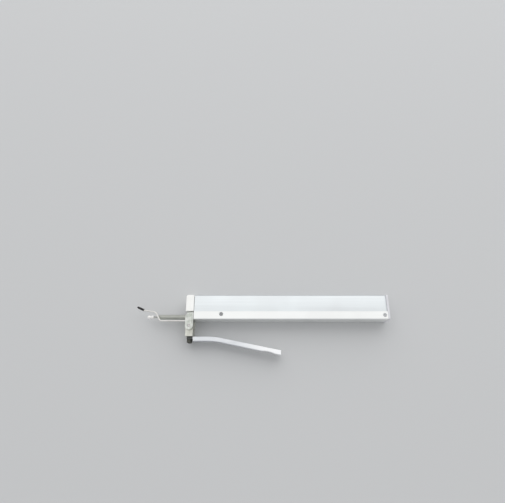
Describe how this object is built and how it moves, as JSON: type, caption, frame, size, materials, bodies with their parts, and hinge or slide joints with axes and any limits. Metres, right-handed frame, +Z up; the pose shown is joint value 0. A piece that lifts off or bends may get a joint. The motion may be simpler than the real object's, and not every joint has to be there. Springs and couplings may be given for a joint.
{
  "type": "yarn tension meter",
  "caption": "Flat pocket instrument with a squeeze lever that drops a wire hook past a grooved feeler tip, and a pointer behind a side window.",
  "frame": {"origin": "middle of the footprint, on the flat side the meter rests on", "axes": "+X along the case from the hook and feeler tip to the tail, +Y across the case away from the trigger bar, +Z up out of the plain flat side"},
  "size_m": [0.2636, 0.0612, 0.019],
  "materials": {
    "case_base": "satin anodised, bright",
    "case_cover": "brushed lengthwise, cool white",
    "ivory_end": "smooth ivory moulding",
    "grey_end": "smooth light grey moulding",
    "machined_nose": "machined, fine vertical tool lines",
    "machined_lever": "machined, fine vertical tool lines",
    "tube_steel": "satin drawn tube",
    "rod_steel": "ground rod",
    "pin_steel": "ground, slightly worn",
    "spring_steel": "drawn spring wire",
    "screw_steel": "turned, slotted",
    "dark_screws": "blackened, worn at the slot",
    "chassis_metal": "milled, matte",
    "bar_metal": "brushed lengthwise, rubbed by fingers",
    "polished_wire": "polished wire",
    "black_sleeve": "shrunk black sleeve",
    "pale_ceramic": "smooth sintered ceramic",
    "brass_parts": "turned brass",
    "scale_white": "matte white enamel with black divisions",
    "needle_paint": "matte red paint",
    "clear_pane": "clear moulded pane"
  },
  "bodies": {
    "housing": {"base_channel": "case_base", "top_cover": "case_cover", "head_block": "ivory_end", "tail_cap": "grey_end", "nose_block": "machined_nose", "guide_tube": "tube_steel", "hinge_pin": "pin_steel", "return_spring": "spring_steel", "feeler_pin": "pin_steel", "pointer_post": "brass_parts", "pointer_clip": "pin_steel", "measuring_spring": "spring_steel", "spring_bracket": "chassis_metal", "zero_screw": "screw_steel", "zero_nut": "brass_parts", "chassis_plate": "chassis_metal", "arm_stops": "pin_steel", "scale_plate": "scale_white", "scale_pillars": "brass_parts", "scale_screws": "screw_steel", "scale_window": "clear_pane", "case_screws": "dark_screws", "chassis_screws": "screw_steel", "head_screw": "screw_steel"},
    "trigger": {"lever_block": "machined_lever", "trigger_bar": "bar_metal", "trigger_screws": "dark_screws", "hook_wire": "polished_wire", "hook_tip": "black_sleeve"},
    "feeler": {"feeler_rod": "rod_steel", "yarn_guide": "pale_ceramic", "feeler_lever": "chassis_metal", "feeler_bush": "brass_parts", "drive_pin": "pin_steel"},
    "pointer": {"pointer_hub": "brass_parts", "pointer_needle": "needle_paint", "counterweight": "brass_parts"}
  },
  "joints": [
    {"name": "trigger_squeeze", "type": "hinge", "parent": "housing", "child": "trigger", "pos_m": [-0.07586, -0.00148, 0.0095], "axis": [0, 0, 1], "range_deg": [0, 15], "stiffness_Nm_per_rad": 0.6, "springref_deg": -11.46, "deforming": ["return_spring"]},
    {"name": "feeler_deflect", "type": "hinge", "parent": "housing", "child": "feeler", "pos_m": [-0.04996, 0.01682, 0.0095], "axis": [0, 0, -1], "range_deg": [0, 0.754], "stiffness_Nm_per_rad": 2.5, "springref_deg": -0.11},
    {"name": "pointer_sweep", "type": "hinge", "parent": "housing", "child": "pointer", "pos_m": [0.01004, 0.02132, 0.0048], "axis": [0, 0, 1], "range_deg": [0, 6.79]}
  ],
  "couplings": [
    {"joint": "pointer_sweep", "follows": "feeler_deflect", "ratio": 9}
  ]
}
